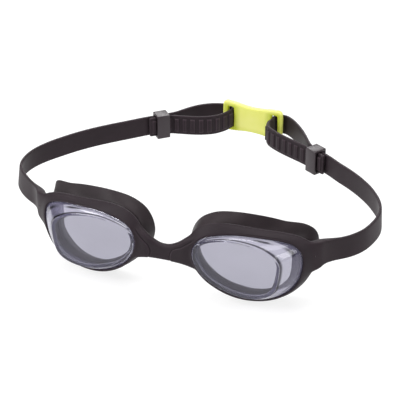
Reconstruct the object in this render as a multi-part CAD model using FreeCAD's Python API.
import FreeCAD, Part
import math
import os
from FreeCAD import Vector

# Swim goggles with a split strap and a rear clip.  All lengths in millimetres.
# Part frame: X across the face (the wearer's left is +X), Y from the lens faces
# back to the rear clip, Z up.  The origin is the middle of the underside of
# the nose bridge, on the mid plane of the face.
# Drawing frame: the same axes, with Y = 0 in the plane of the two lens faces
# and Z = 0 at the middle of the temple joints.  Every number below is in the
# drawing frame, and each piece is shifted by -ORIGIN when it is written out.
# A "depth" is the Y of a wrapped plane where it crosses X = WRAP_X.

X_AXIS = Vector(1, 0, 0)
WRAP = 0.19              # each eye ring leans back by this much per mm of X
WRAP_X = 18.5            # X where the wrapped planes start

# Outlines of the left eye (X, Z), counter-clockwise from the temple, 40 stations.
LENS_FACE = [
    (65.1, -6.0), (65.3, -4.0), (65.5, -1.8), (65.4, 0.5), (64.6, 2.9), (62.9, 5.2), (60.3, 7.2), (57.1, 8.9),
    (53.4, 10.2), (49.3, 11.0), (45.0, 11.5), (40.5, 11.6), (36.0, 11.4), (31.5, 10.6), (27.1, 9.4), (23.0, 7.8),
    (19.4, 5.6), (17.3, 2.8), (16.5, -0.2), (16.5, -3.2), (17.2, -6.0), (18.5, -8.6), (20.0, -11.1), (21.9, -13.4),
    (24.2, -15.5), (26.9, -17.3), (30.0, -18.9), (33.4, -20.2), (37.0, -21.4), (40.9, -22.3), (45.0, -22.8), (49.2, -22.7),
    (53.3, -22.0), (57.0, -20.7), (60.0, -18.9), (62.1, -16.7), (63.4, -14.3), (64.0, -12.1), (64.5, -10.0), (64.8, -8.0),
]
LENS_RIM = [
    (74.3, -6.0), (74.6, -3.1), (74.5, -0.0), (73.8, 3.2), (72.1, 6.3), (68.6, 8.8), (63.7, 10.1), (58.7, 10.8),
    (53.9, 11.1), (49.4, 11.4), (45.0, 11.7), (40.5, 11.8), (35.9, 11.6), (31.2, 11.0), (26.4, 10.0), (21.9, 8.5),
    (19.0, 5.8), (17.4, 2.8), (16.8, -0.3), (16.8, -3.2), (17.4, -6.0), (18.3, -8.6), (19.5, -11.2), (21.1, -13.6),
    (23.0, -16.0), (25.4, -18.3), (28.2, -20.5), (31.5, -22.5), (35.5, -24.3), (40.0, -25.7), (45.0, -26.4), (50.2, -26.5),
    (55.3, -25.7), (59.9, -24.2), (63.8, -22.1), (66.9, -19.7), (69.3, -17.0), (71.1, -14.3), (72.5, -11.6), (73.6, -8.8),
]
FRAME_RIDGE = [
    (79.6, -6.0), (80.0, -2.5), (79.8, 1.1), (78.9, 4.8), (76.8, 8.4), (72.6, 11.2), (66.8, 12.7), (60.9, 13.5),
    (55.4, 13.9), (50.2, 14.3), (45.0, 14.9), (39.5, 15.6), (33.5, 16.1), (27.2, 15.8), (21.5, 14.2), (17.2, 11.4),
    (14.6, 7.8), (13.2, 4.1), (12.7, 0.6), (12.8, -2.8), (13.4, -6.0), (14.3, -9.0), (15.7, -12.0), (17.5, -14.7),
    (19.9, -17.4), (22.7, -20.0), (25.9, -22.4), (29.7, -24.7), (34.1, -26.9), (39.2, -28.8), (45.0, -29.9), (51.1, -30.1),
    (57.0, -29.1), (62.3, -27.3), (66.8, -24.8), (70.4, -21.9), (73.3, -18.9), (75.6, -15.7), (77.3, -12.6), (78.7, -9.3),
]
GASKET_EDGE = [
    (77.7, -6.0), (78.2, -2.7), (78.5, 0.8), (78.2, 4.6), (76.7, 8.4), (73.3, 11.7), (67.6, 13.4), (61.1, 13.8),
    (55.5, 14.1), (50.3, 14.8), (45.0, 15.5), (39.3, 16.3), (33.2, 16.7), (26.9, 16.2), (21.3, 14.4), (16.6, 11.8),
    (13.2, 8.5), (11.1, 4.8), (10.5, 1.0), (10.8, -2.6), (11.7, -6.0), (13.1, -9.2), (14.8, -12.1), (16.8, -15.0),
    (19.3, -17.7), (22.1, -20.3), (25.4, -22.9), (29.1, -25.5), (33.4, -28.3), (38.7, -31.0), (45.0, -33.0), (52.0, -33.6),
    (58.7, -32.3), (64.2, -29.6), (68.4, -26.1), (71.4, -22.5), (73.6, -19.0), (75.2, -15.6), (76.3, -12.4), (77.1, -9.2),
]
EYE_OPENING = [
    (73.7, -6.0), (74.1, -3.1), (74.2, -0.1), (73.5, 3.1), (71.9, 6.2), (68.8, 8.9), (64.1, 10.4), (58.9, 11.1),
    (54.3, 11.9), (49.8, 12.8), (45.0, 13.6), (39.9, 14.2), (34.4, 14.3), (29.1, 13.5), (24.1, 12.0), (20.0, 9.6),
    (17.0, 6.7), (15.2, 3.5), (14.6, 0.2), (14.6, -3.0), (15.1, -6.0), (15.9, -8.9), (17.1, -11.7), (18.5, -14.4),
    (20.4, -17.1), (22.8, -19.9), (25.8, -22.5), (29.5, -25.0), (33.9, -27.3), (39.1, -29.2), (45.0, -30.2), (51.2, -30.3),
    (57.1, -29.3), (62.3, -27.2), (66.3, -24.3), (68.9, -20.9), (70.5, -17.6), (71.6, -14.5), (72.4, -11.6), (73.1, -8.8),
]

# Lens
LENS_PLATE = 1.8         # thickness of the flat lens face
LENS_WALL = 1.5          # thickness of the side wall at the rim
LENS_FACE_EXTRA = 0.3    # added to the wall at the face
FLANGE_OUT = 1.1         # how far the flange stands out of the wall
FLANGE_T = 1.5
RIM_DEPTH = 2.0          # front of the flange
FLANGE_BACK = RIM_DEPTH + FLANGE_T

# Frame
RIDGE_DEPTH = 5.8
FRAME_BACK = 8.2
COLLAR_OUT = 1.7         # front edge of the ring, outside the lens rim
COLLAR_DEPTH = RIM_DEPTH - 0.7
SHOULDER_SHARE, SHOULDER_DEPTH = 0.62, RIM_DEPTH + 1.2   # share: collar to ridge
BACK_SHARE = 0.82        # rear face outline: share from lens rim to ridge
WALL_CLEAR = 0.15        # round the lens side wall
# Bores along the lens rim: growth of LENS_RIM, front depth, back depth.
FRAME_BORES = [
    (0.12, RIM_DEPTH - 3.0, RIM_DEPTH + 0.5),                       # front lip
    (FLANGE_OUT + 0.1, RIM_DEPTH - 0.08, FLANGE_BACK + 1.4),        # flange pocket
    (0.2, FLANGE_BACK, FRAME_BACK + 6.0),                           # rear opening
]
# Rounded sections across X: x, bottom z, top z, front y, back y.
BRIDGE = [
    (0.0, -9.2, -0.8, 1.6, 5.8), (3.0, -9.2, -0.2, 1.6, 5.9), (6.0, -9.3, 1.4, 1.6, 6.1),
    (9.0, -9.6, 3.5, 1.7, 6.3), (12.5, -10.2, 6.3, 1.8, 6.6), (16.0, -12.5, 10.2, 2.2, 7.0),
    (19.5, -16.0, 12.4, 3.0, 7.2),
]
TEMPLE_HORN = [
    (70.0, -10.5, 9.6, 11.6, 17.4), (74.5, -9.6, 9.5, 13.0, 18.8),
    (77.6, -7.8, 9.0, 14.2, 19.6), (80.5, -6.6, 8.7, 15.6, 21.6),
]
SECTION_POINTS, SECTION_POWER = 24, 0.5   # a power of 1 gives an ellipse, less is squarer
ORIGIN = Vector(BRIDGE[0][0], (BRIDGE[0][3] + BRIDGE[0][4]) / 2, BRIDGE[0][1])

# Gasket
GASKET_FRONT = FLANGE_BACK + 0.1
GASKET_FLANGE_BACK = GASKET_FRONT + 1.2
GASKET_BACK = 18.6
NECK_OUT, NECK_OVERLAP, NECK_BACK = 0.1, 0.2, FRAME_BACK + 0.6
GASKET_LIP_DEPTH, GASKET_LIP_INSET = 1.6, 0.6   # taper at the face edge
GASKET_BORE_INSET, GASKET_FLARE_INSET = 1.9, 1.6
GASKET_FLARE_SHARE = 0.75                # share from the inset rim to the eye opening
TEMPLE_KNEE = 5.0                        # X length over which a temple end is eased in
# Skirt sections: from outline, to outline, share between them, X limit, depth.
SKIRT = [
    (LENS_RIM, FRAME_RIDGE, 0.62, 78.0, FRAME_BACK + 0.15),
    (FRAME_RIDGE, GASKET_EDGE, 0.35, 79.2, FRAME_BACK + 2.4),
    (FRAME_RIDGE, GASKET_EDGE, 0.9, 79.4, FRAME_BACK + 6.6),
]

# Temple joint: a headed anchor along X, across the plane where the strap starts
ROOT_X = 79.0
ROOT_GAP = 0.30          # gap between frame and strap root
ANCHOR_Y, ANCHOR_Z = 17.7, 1.0
HEAD_R, PIN_R, PIN_CLEAR = 1.4, 1.0, 0.06
HEAD_X, SHAFT_X, PIN_END_X = ROOT_X - 2.6, ROOT_X - 1.5, ROOT_X + 1.2
SHAFT_OVERLAP = 0.2      # shaft sunk into the head
PIN_HOLE_START, PIN_HOLE_L = ROOT_X - 0.1, 1.6
ROOT_BOX = 20            # X size of the boxes that trim at the root plane

# Strap
STRAP_T, STRAP_H, STRAP_Z = 1.8, 12.2, 1.9   # band thickness, height, centre height
STRAP_BOTTOM, STRAP_TOP = STRAP_Z - STRAP_H / 2, STRAP_Z + STRAP_H / 2
SAMPLE_STEP = 2.2        # spacing of the points the band faces pass through
ROOT_EXTRA, ROOT_L = 1.6, 16.0   # extra half thickness at the root, and its run-out
ROOT_OVERRUN = 3.5       # band built past the root plane, then trimmed flat
BLANK_BOTTOM, BLANK_TOP = -9.0, 11.0   # untrimmed height
BAND_START_Y, ROOT_END_Y = 30, 31      # full trim starts, flared root trim ends
# Material removed above and below the flared root, (X, Z).
OVER_ROOT = [
    (70.0, STRAP_TOP + 0.6), (79.0, STRAP_TOP + 0.6), (83.0, STRAP_TOP + 0.3),
    (88.0, STRAP_TOP), (130.0, STRAP_TOP), (130.0, 14.0), (70.0, 14.0),
]
UNDER_ROOT = [
    (70.0, -6.4), (79.0, -6.4), (81.0, -5.9), (84.0, -5.0),
    (88.0, STRAP_BOTTOM), (130.0, STRAP_BOTTOM), (130.0, -14.0), (70.0, -14.0),
]
RIB_COUNT, RIB_START, RIB_PITCH = 9, 2.6, 5.0   # start and pitch along the tail from its end
RIB_W, RIB_T, RIB_H = 2.6, 0.5, 8.6
RIB_SUNK = 0.45          # rib root inside the band
RIB_AIM = 40             # ribs face a point this far in front of the keeper

# Keeper
KEEPER_L, KEEPER_WALL, KEEPER_H = 6.8, 1.1, 14.8
KEEPER_CLEAR, KEEPER_ROUND = 0.25, 0.45
LAYER_OUT, LAYER_IN = 1.25, -1.30      # offsets of the two band layers inside a keeper
OUT_STATIONS = (-9.5, -5.0, 0.0, 4.5)  # along the keeper, on the way to the clip
BACK_STATIONS = (4.5, 0.0, -4.2, -8.4)   # on the way back, down to the tail end

# Rear clip
CLIP_CENTRE = (0.0, 156.3)             # in plan
CLIP_YAW, CLIP_Z = -7.0, 2.6           # degrees, centre height
CLIP_T, CLIP_EDGE_ROUND = 3.0, 0.9
CLIP_HALF_W, CLIP_HALF_H, CLIP_WAIST_H = 19.4, 9.5, 8.1
CLIP_END_BULGE = 0.1
SLOT_IN, SLOT_OUT, SLOT_H = 11.8, 16.7, 13.6
SLOT_DROP, SLOT_ROUND, SLOT_OVERCUT = 0.3, 0.8, 2
# Left half of the top edge as drawn, from the -X end to the middle, (X, Z).
CLIP_TOP = [
    (-CLIP_HALF_W, 6.2), (-CLIP_HALF_W + 0.5, 8.2), (-CLIP_HALF_W + 2.2, 9.4),
    (-14.6, CLIP_HALF_H), (-11.0, 9.15), (-6.5, 8.45), (-2.5, CLIP_WAIST_H),
]
# Band centre line round the end bar, (X, Y) in the clip's own frame, +X end.
TURN = [(20.4, 3.75), (17.7, 3.85), (15.2, 3.25), (14.25, 1.4), (14.2, -1.0), (14.5, -3.2)]

# The two straps in plan, (X, Y).  band: temple to keeper.  keeper: its centre.
# along: keeper direction towards the clip.  outer: keeper to clip.  inner: clip to keeper.
LEFT = {
    "side": 1,
    "band": [
        (79.0, 18.4), (81.6, 21.9), (84.3, 24.9), (87.8, 28.0), (91.2, 31.2), (94.5, 34.8),
        (97.7, 39.1), (100.4, 44.6), (101.7, 49.1), (102.8, 54.5), (103.4, 60.0), (103.2, 64.5),
        (102.3, 69.0), (100.9, 73.2), (98.2, 78.7), (94.7, 83.9), (91.3, 88.6), (87.9, 92.3),
        (84.7, 95.6), (78.5, 101.1), (72.5, 105.8), (67.2, 109.6)],
    "keeper": (50.9, 119.6),
    "along": (-0.845, 0.535),
    "outer": [
        (44.2, 127.6), (40.6, 133.9), (36.2, 141.2), (32.0, 147.0), (28.6, 151.2), (25.2, 154.6)],
    "inner": [
        (13.2, 147.4), (13.6, 143.0), (15.9, 139.1), (20.0, 135.6), (25.9, 131.8), (31.8, 128.6),
        (37.6, 125.7)],
}
RIGHT = {
    "side": -1,
    "band": [
        (-79.0, 18.4), (-82.1, 22.6), (-85.1, 25.8), (-88.0, 28.2), (-90.9, 30.3), (-93.9, 32.6),
        (-97.2, 35.5), (-100.8, 38.9), (-103.8, 42.3), (-106.4, 46.1), (-108.3, 51.0),
        (-109.1, 56.2), (-109.1, 60.3), (-108.1, 66.5), (-106.5, 71.4), (-104.5, 75.9),
        (-102.4, 80.0), (-99.4, 84.9), (-94.7, 92.1), (-89.8, 98.7), (-84.5, 105.0),
        (-78.9, 110.9), (-73.3, 116.3), (-67.6, 121.4)],
    "keeper": (-52.3, 133.7),
    "along": (0.758, 0.652),
    "outer": [
        (-45.6, 141.4), (-43.2, 145.2), (-40.8, 148.9), (-38.3, 152.4), (-35.7, 155.3),
        (-32.6, 157.9), (-29.3, 160.0), (-25.6, 161.5)],
    "inner": [
        (-18.6, 147.6), (-21.6, 144.3), (-26.4, 141.4), (-32.1, 139.2), (-38.0, 137.9),
        (-42.6, 137.0)],
}


# ------------------------------------------------------------------ helpers
def grow(outline, distance):
    """Offset a closed outline outwards, in its own plane."""
    grown = []
    for i, (x, z) in enumerate(outline):
        before, after = outline[i - 1], outline[(i + 1) % len(outline)]
        dx, dz = after[0] - before[0], after[1] - before[1]
        length = math.hypot(dx, dz)
        grown.append((x + distance * dz / length, z - distance * dx / length))
    return grown


def limit_x(outline, x_max):
    """Ease an outline's temple end inside x_max."""
    start = x_max - TEMPLE_KNEE
    return [(start + TEMPLE_KNEE * math.tanh((x - start) / TEMPLE_KNEE) if x > start else x, z)
            for x, z in outline]


def mix(first, second, share):
    return [(p[0] * (1 - share) + q[0] * share, p[1] * (1 - share) + q[1] * share)
            for p, q in zip(first, second)]


def spline(points):
    curve = Part.BSplineCurve()
    curve.interpolate(Points=points)
    return curve


def closed_wire(points):
    curve = Part.BSplineCurve()
    curve.interpolate(Points=points, PeriodicFlag=True)
    return Part.Wire([curve.toShape()])


def ring_wire(outline, depth, wrap=WRAP):
    return closed_wire([Vector(x, depth + wrap * (x - WRAP_X), z) for x, z in outline])


def loft(wires, ruled=True):
    return Part.makeLoft(wires, True, ruled)


def ring_slab(outline, front, back):
    return loft([ring_wire(outline, front), ring_wire(outline, back)])


def prism(corners, sweep):
    return Part.Face(Part.makePolygon(corners + corners[:1])).extrude(sweep)


def mirror(shape):
    return shape.mirror(Vector(0, 0, 0), X_AXIS)


def on_side(shape, side):
    return shape if side > 0 else mirror(shape)


def root_box(x_inner, side):
    """Trimming box at a temple; x_inner is its |X| nearest the mid plane."""
    x = x_inner if side > 0 else -x_inner - ROOT_BOX
    return Part.makeBox(ROOT_BOX, 60, 60, Vector(x, -10, -30))


# ------------------------------------------------------------------ eye pieces
def make_lens():
    outer = loft([ring_wire(LENS_FACE, 0.0, wrap=0), ring_wire(LENS_RIM, FLANGE_BACK)])
    flange = ring_slab(grow(LENS_RIM, FLANGE_OUT), RIM_DEPTH, FLANGE_BACK)
    cavity = loft([ring_wire(grow(LENS_FACE, -LENS_WALL - LENS_FACE_EXTRA), LENS_PLATE, wrap=0),
                   ring_wire(grow(LENS_RIM, -LENS_WALL), FLANGE_BACK + 0.6)])
    return outer.fuse(flange).cut(cavity)


def make_gasket():
    flange = ring_slab(grow(LENS_RIM, FLANGE_OUT), GASKET_FRONT, GASKET_FLANGE_BACK)
    neck = ring_slab(grow(LENS_RIM, NECK_OUT), GASKET_FLANGE_BACK - NECK_OVERLAP, NECK_BACK)
    sections = [ring_wire(limit_x(mix(first, second, share), x_max), depth)
                for first, second, share, x_max, depth in SKIRT]
    sections += [ring_wire(GASKET_EDGE, GASKET_BACK - GASKET_LIP_DEPTH),
                 ring_wire(grow(GASKET_EDGE, -GASKET_LIP_INSET), GASKET_BACK)]
    skirt = loft(sections)
    bore = grow(LENS_RIM, -GASKET_BORE_INSET)
    flare = mix(grow(LENS_RIM, -GASKET_FLARE_INSET), EYE_OPENING, GASKET_FLARE_SHARE)
    hole = loft([ring_wire(bore, GASKET_FRONT - 0.5),
                 ring_wire(bore, FRAME_BACK + 0.4),
                 ring_wire(flare, FRAME_BACK + 6.0),
                 ring_wire(EYE_OPENING, GASKET_BACK + 0.5)])
    return flange.fuse([neck, skirt]).cut(hole)


# ------------------------------------------------------------------ frame
def rounded_section(x, z_low, z_high, y_front, y_back):
    """Closed superellipse wire across X, filling the given Y and Z ranges."""
    z_mid, z_half = (z_low + z_high) / 2.0, (z_high - z_low) / 2.0
    y_mid, y_half = (y_front + y_back) / 2.0, (y_back - y_front) / 2.0
    points = []
    for i in range(SECTION_POINTS):
        angle = 2 * math.pi * i / SECTION_POINTS
        y, z = [math.copysign(abs(v) ** SECTION_POWER, v)
                for v in (math.cos(angle), math.sin(angle))]
        points.append(Vector(x, y_mid + y_half * y, z_mid + z_half * z))
    return closed_wire(points)


def make_frame():
    collar = grow(LENS_RIM, COLLAR_OUT)
    ring = loft([ring_wire(collar, COLLAR_DEPTH),
                 ring_wire(mix(collar, FRAME_RIDGE, SHOULDER_SHARE), SHOULDER_DEPTH),
                 ring_wire(FRAME_RIDGE, RIDGE_DEPTH),
                 ring_wire(mix(LENS_RIM, FRAME_RIDGE, BACK_SHARE), FRAME_BACK)])
    sections = [rounded_section(-row[0], *row[1:]) for row in reversed(BRIDGE[1:])]
    sections += [rounded_section(*row) for row in BRIDGE]
    bridge = loft(sections, ruled=False)
    horn = loft([rounded_section(*row) for row in TEMPLE_HORN])
    body = ring.fuse([mirror(ring), bridge, horn, mirror(horn)])

    cutters = [ring_slab(grow(LENS_RIM, growth), front, back)
               for growth, front, back in FRAME_BORES]
    # room for the tapered side wall of the lens
    cutters.append(loft([ring_wire(grow(LENS_FACE, WALL_CLEAR), 0.0, wrap=0),
                         ring_wire(grow(LENS_RIM, WALL_CLEAR), FLANGE_BACK)]))
    for cutter in cutters:
        body = body.cut([cutter, mirror(cutter)])
    # stop short of the strap root and sink the anchor
    for side in (1, -1):
        body = body.cut(root_box(ROOT_X - ROOT_GAP, side))
        body = body.cut(on_side(make_anchor(), side))
    return body


def make_anchor():
    head = Part.makeCylinder(HEAD_R, SHAFT_X - HEAD_X, Vector(HEAD_X, ANCHOR_Y, ANCHOR_Z), X_AXIS)
    shaft = Part.makeCylinder(PIN_R, PIN_END_X - SHAFT_X + SHAFT_OVERLAP,
                              Vector(SHAFT_X - SHAFT_OVERLAP, ANCHOR_Y, ANCHOR_Z), X_AXIS)
    return head.fuse(shaft).removeSplitter()


# ------------------------------------------------------------------ strap
def keeper_point(strap, along, out):
    """Plan point: along the keeper towards the clip, and out, away from the head."""
    x, y = strap["keeper"]
    ux, uy = strap["along"]
    side = strap["side"]
    return (x + along * ux + out * uy * side, y + along * uy - out * ux * side)


def clip_to_plan(x, y):
    yaw = math.radians(CLIP_YAW)
    return (CLIP_CENTRE[0] + x * math.cos(yaw) - y * math.sin(yaw),
            CLIP_CENTRE[1] + x * math.sin(yaw) + y * math.cos(yaw))


def band_path(strap):
    """Centre line: temple, keeper, round the clip bar, back through the keeper as the tail."""
    return (strap["band"]
            + [keeper_point(strap, along, LAYER_OUT) for along in OUT_STATIONS]
            + strap["outer"]
            + [clip_to_plan(strap["side"] * x, y) for x, y in TURN]
            + strap["inner"]
            + [keeper_point(strap, along, LAYER_IN) for along in BACK_STATIONS])


def sample(curve):
    """Evenly spaced (point, unit tangent, distance from the start)."""
    count = max(8, int(curve.length() / SAMPLE_STEP))
    points = curve.toShape().discretize(Number=count + 1)
    samples, distance = [], 0.0
    for i, point in enumerate(points):
        tangent = points[min(i + 1, count)].sub(points[max(i - 1, 0)])
        tangent.normalize()
        if i:
            distance += point.sub(points[i - 1]).Length
        samples.append((point, tangent, distance))
    return samples


def half_thickness(distance):
    left = max(0.0, 1.0 - distance / ROOT_L)
    return STRAP_T / 2 + ROOT_EXTRA * left * left * (3 - 2 * left)


def ribbon(samples):
    """Untrimmed band, thickened to both sides of the sampled centre line."""
    faces = []
    for sign in (1, -1):
        faces.append([Vector(p.x - sign * t.y * half_thickness(d),
                             p.y + sign * t.x * half_thickness(d), BLANK_BOTTOM)
                      for p, t, d in samples])
    first, second = faces
    edges = [spline(first).toShape(), Part.makeLine(first[-1], second[-1]),
             spline(second).toShape(), Part.makeLine(first[0], second[0])]
    wire = Part.Wire(Part.__sortEdges__(edges))
    return Part.Face(wire).extrude(Vector(0, 0, BLANK_TOP - BLANK_BOTTOM))


def make_ribs(strap, samples):
    """Cross ribs on the tail, on the face turned to a point in front of the keeper."""
    keeper_x, keeper_y = keeper_point(strap, 0, 0)
    aim = Vector(keeper_x, keeper_y - RIB_AIM, 0)
    total = samples[-1][2]
    from_end = [(point, tangent, total - distance) for point, tangent, distance in samples]
    low, high = STRAP_T / 2 - RIB_SUNK, STRAP_T / 2 + RIB_T
    ribs = []
    for i in range(RIB_COUNT):
        place = RIB_START + i * RIB_PITCH
        point, tangent, distance = min(from_end, key=lambda entry: abs(entry[2] - place))
        shift = distance - place
        centre = point.add(Vector(tangent.x * shift, tangent.y * shift, 0))
        normal = Vector(-tangent.y, tangent.x, 0)
        if normal.dot(aim.sub(centre)) < 0:
            normal = normal.multiply(-1)
        corners = [Vector(centre.x + tangent.x * along + normal.x * out,
                          centre.y + tangent.y * along + normal.y * out, STRAP_Z - RIB_H / 2)
                   for along, out in ((-RIB_W / 2, low), (RIB_W / 2, low),
                                      (RIB_W / 2, high), (-RIB_W / 2, high))]
        ribs.append(prism(corners, Vector(0, 0, RIB_H)))
    return ribs


def make_strap(strap):
    side = strap["side"]
    samples = sample(spline([Vector(x, y, 0) for x, y in band_path(strap)]))
    point, tangent, _ = samples[0]
    overrun = Vector(tangent.x * ROOT_OVERRUN, tangent.y * ROOT_OVERRUN, 0)
    body = ribbon([(point.sub(overrun), tangent, 0.0)] + samples)
    # trim to the band height behind the root, then to the flared root profile
    body = body.cut([Part.makeBox(260, 200, 10, Vector(-130, BAND_START_Y, z))
                     for z in (STRAP_TOP, STRAP_BOTTOM - 10)])
    for profile in (OVER_ROOT, UNDER_ROOT):
        corners = [Vector(side * x, 0, z) for x, z in profile]
        body = body.cut(prism(corners, Vector(0, ROOT_END_Y, 0)))
    # flat root face with the anchor hole
    body = body.cut(root_box(ROOT_X - ROOT_BOX, side))
    hole = Part.makeCylinder(PIN_R + PIN_CLEAR, PIN_HOLE_L,
                             Vector(PIN_HOLE_START, ANCHOR_Y, ANCHOR_Z), X_AXIS)
    body = body.cut(on_side(hole, side))
    return body.fuse(make_ribs(strap, samples)).removeSplitter()


# ------------------------------------------------------------------ keeper
def keeper_block(strap, half_length, out_low, out_high, z_low, z_high):
    corners = [Vector(*keeper_point(strap, along, out), z_low)
               for along, out in ((-half_length, out_low), (half_length, out_low),
                                  (half_length, out_high), (-half_length, out_high))]
    return prism(corners, Vector(0, 0, z_high - z_low))


def make_keeper(strap):
    low = LAYER_IN - STRAP_T / 2 - RIB_T - KEEPER_CLEAR
    high = LAYER_OUT + STRAP_T / 2 + KEEPER_CLEAR
    outer = keeper_block(strap, KEEPER_L / 2, low - KEEPER_WALL, high + KEEPER_WALL,
                         STRAP_Z - KEEPER_H / 2, STRAP_Z + KEEPER_H / 2)
    outer = outer.makeFillet(KEEPER_ROUND, outer.Edges)
    inner = keeper_block(strap, KEEPER_L, low, high,
                         STRAP_BOTTOM - KEEPER_CLEAR, STRAP_TOP + KEEPER_CLEAR)
    return outer.cut(inner)


# ------------------------------------------------------------------ clip
def make_clip():
    top = CLIP_TOP + [(-x, z) for x, z in reversed(CLIP_TOP)]
    half = top + [(CLIP_HALF_W + CLIP_END_BULGE, z) for z in (3.0, 0.0, -3.0)]
    outline = half + [(-x, -z) for x, z in half]
    wire = closed_wire([Vector(x, -CLIP_T / 2, z) for x, z in outline])
    plate = Part.Face(wire).extrude(Vector(0, CLIP_T, 0))
    plate = plate.makeFillet(CLIP_EDGE_ROUND, plate.Edges)
    for slot_x in (SLOT_IN, -SLOT_OUT):
        slot = Part.makeBox(SLOT_OUT - SLOT_IN, CLIP_T + 2 * SLOT_OVERCUT, SLOT_H,
                            Vector(slot_x, -CLIP_T / 2 - SLOT_OVERCUT, -SLOT_H / 2 - SLOT_DROP))
        along_y = [edge for edge in slot.Edges
                   if abs(edge.tangentAt(edge.FirstParameter).y) > 0.9]
        plate = plate.cut(slot.makeFillet(SLOT_ROUND, along_y))
    plate.rotate(Vector(0, 0, 0), Vector(0, 0, 1), CLIP_YAW)
    plate.translate(Vector(*CLIP_CENTRE, CLIP_Z))
    return plate


# ------------------------------------------------------------------ build
def build():
    lens, gasket, anchor = make_lens(), make_gasket(), make_anchor()
    return {
        "frame": make_frame(),
        "lens_left": lens, "lens_right": mirror(lens),
        "gasket_left": gasket, "gasket_right": mirror(gasket),
        "anchor_left": anchor, "anchor_right": mirror(anchor),
        "strap_left": make_strap(LEFT), "strap_right": make_strap(RIGHT),
        "keeper_left": make_keeper(LEFT), "keeper_right": make_keeper(RIGHT),
        "rear_clip": make_clip(),
    }


os.makedirs("parts", exist_ok=True)
for name, shape in build().items():
    placed = shape.copy()
    placed.translate(Vector(-ORIGIN.x, -ORIGIN.y, -ORIGIN.z))
    placed.exportStep("parts/%s.step" % name)
